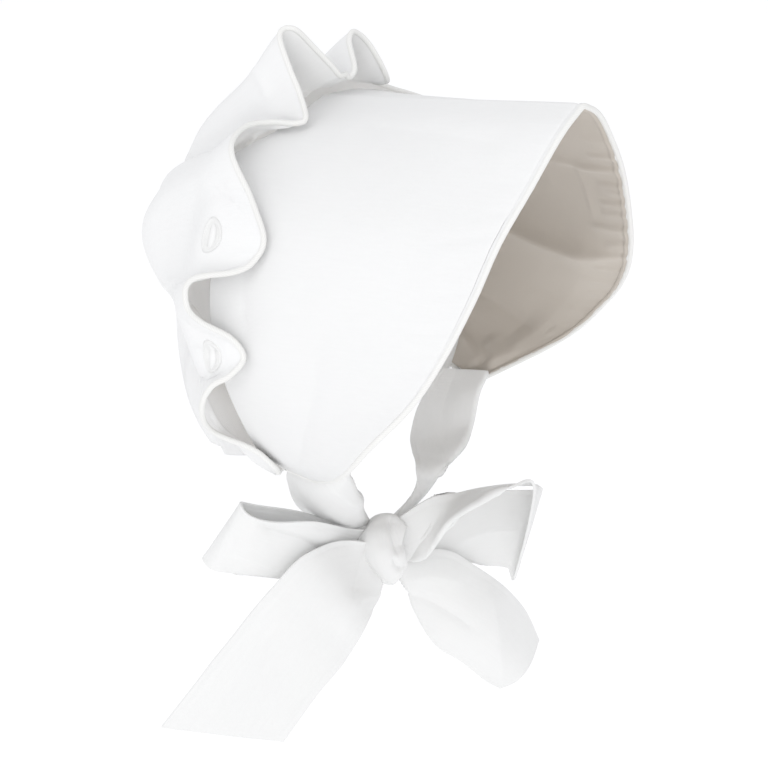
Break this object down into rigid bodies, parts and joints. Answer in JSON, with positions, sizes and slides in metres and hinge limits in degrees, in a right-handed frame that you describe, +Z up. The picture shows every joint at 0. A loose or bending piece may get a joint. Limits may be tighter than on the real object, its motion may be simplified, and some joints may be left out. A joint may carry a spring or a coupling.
{
  "type": "bonnet",
  "caption": "Toddler's cotton sunbonnet: stiff brim, soft crown buttoned on with a wavy piped edge, wide chin ties knotted in a bow.",
  "frame": {"origin": "inside the bonnet at the top of the seam between brim and crown, where it sits on the head", "axes": "+Z up, -Y out of the face opening, +X towards the wearer's left"},
  "size_m": [0.2225, 0.2113, 0.3413],
  "materials": {
    "cotton": "plain white cotton, matte",
    "piping": "white bias piping over a cord, matte",
    "tie_cotton": "plain white cotton, matte, softly creased",
    "button": "white, satin"
  },
  "bodies": {
    "root": {"brim": "cotton", "brim_piping": "piping", "crown": "cotton", "crown_piping": "piping", "button_1": "button", "button_2": "button", "button_3": "button", "button_4": "button", "button_5": "button", "bow_knot": "tie_cotton", "strap_right": "tie_cotton", "strap_left": "tie_cotton", "bow_loop_right": "tie_cotton", "bow_loop_left": "tie_cotton", "tail_right": "tie_cotton", "tail_left": "tie_cotton"}
  },
  "joints": []
}
